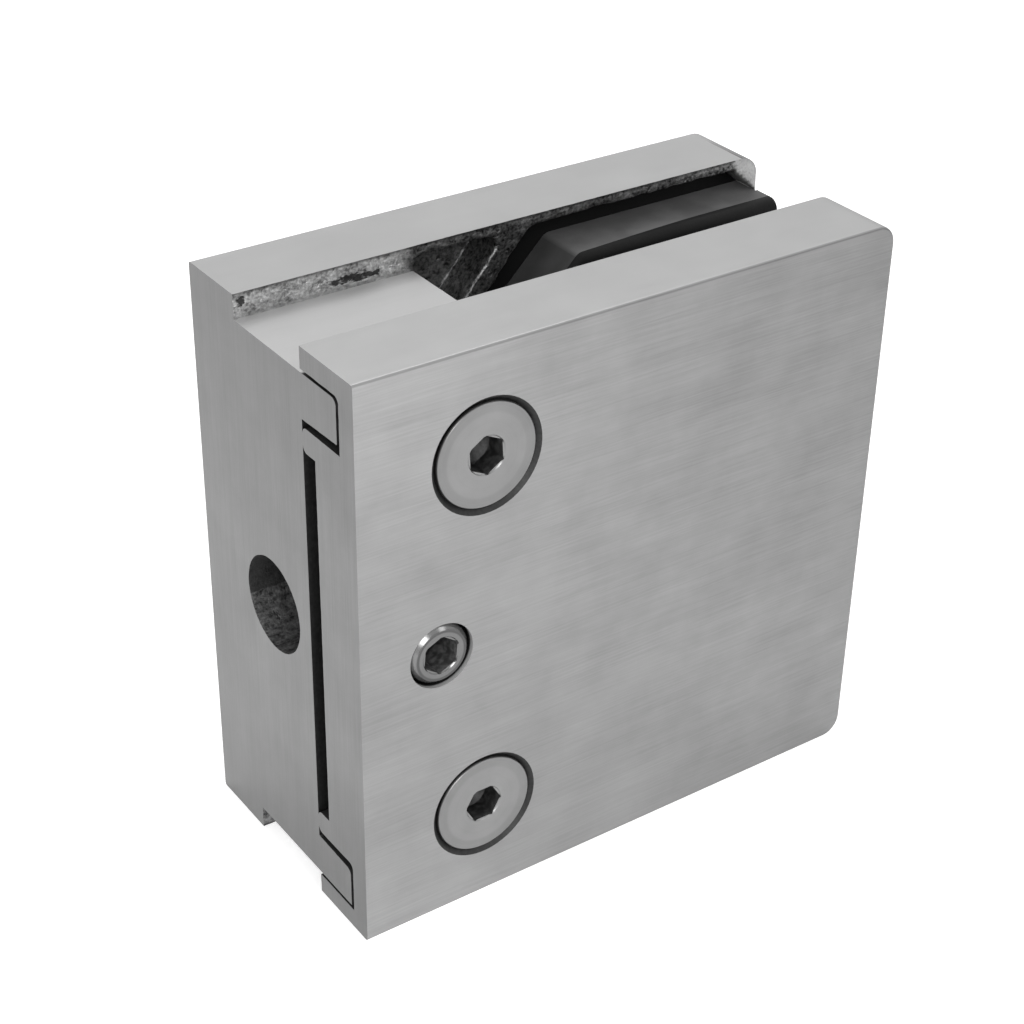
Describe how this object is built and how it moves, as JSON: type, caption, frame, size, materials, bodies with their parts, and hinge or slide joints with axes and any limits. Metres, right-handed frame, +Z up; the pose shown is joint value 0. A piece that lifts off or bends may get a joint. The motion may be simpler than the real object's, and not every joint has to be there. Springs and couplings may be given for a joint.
{
  "type": "railing clamp",
  "caption": "Square stainless clamp that grips the edge of a glass railing panel between rubber pads and fixes it to a post.",
  "frame": {"origin": "centre of the stud bore on the post face", "axes": "+X from the post face into the glass panel, +Y to the back plate, +Z up along the post"},
  "size_m": [0.07, 0.0334, 0.07],
  "materials": {
    "body_steel": "cast stainless, outer faces brushed, inner faces left rough",
    "cover_steel": "cast stainless, outer faces brushed, inner faces left rough",
    "screw_steel": "turned and brushed screw heads",
    "set_screw_steel": "bright turned steel",
    "pad_rubber": "matt black moulded rubber"
  },
  "bodies": {
    "body": {"clamp_body": "body_steel", "rear_glass_pad": "pad_rubber"},
    "cover": {"cover_plate": "cover_steel", "front_glass_pad": "pad_rubber"},
    "upper_screw": {"upper_cover_screw": "screw_steel"},
    "lower_screw": {"lower_cover_screw": "screw_steel"},
    "set_screw": {"set_screw": "set_screw_steel"}
  },
  "joints": [
    {"name": "cover_lift", "type": "slide", "parent": "body", "child": "cover", "axis": [0, -1, 0], "range_m": [0, 0.004]},
    {"name": "upper_screw_turn", "type": "hinge", "parent": "cover", "child": "upper_screw", "pos_m": [0.0156, -0.018, 0.0225], "axis": [0, -1, 0], "range_deg": [0, 1440]},
    {"name": "lower_screw_turn", "type": "hinge", "parent": "cover", "child": "lower_screw", "pos_m": [0.0156, -0.018, -0.0225], "axis": [0, -1, 0], "range_deg": [0, 1440]},
    {"name": "set_screw_turn", "type": "hinge", "parent": "body", "child": "set_screw", "pos_m": [0.01, -0.018, 0], "axis": [0, -1, 0], "range_deg": [-1152, 0]}
  ],
  "couplings": [
    {"joint": "upper_screw_turn", "follows": "cover_lift", "rad_per_m": 6283.2},
    {"joint": "lower_screw_turn", "follows": "cover_lift", "rad_per_m": 6283.2},
    {"joint": "set_screw_turn", "follows": "cover_lift", "rad_per_m": -5026.5}
  ]
}
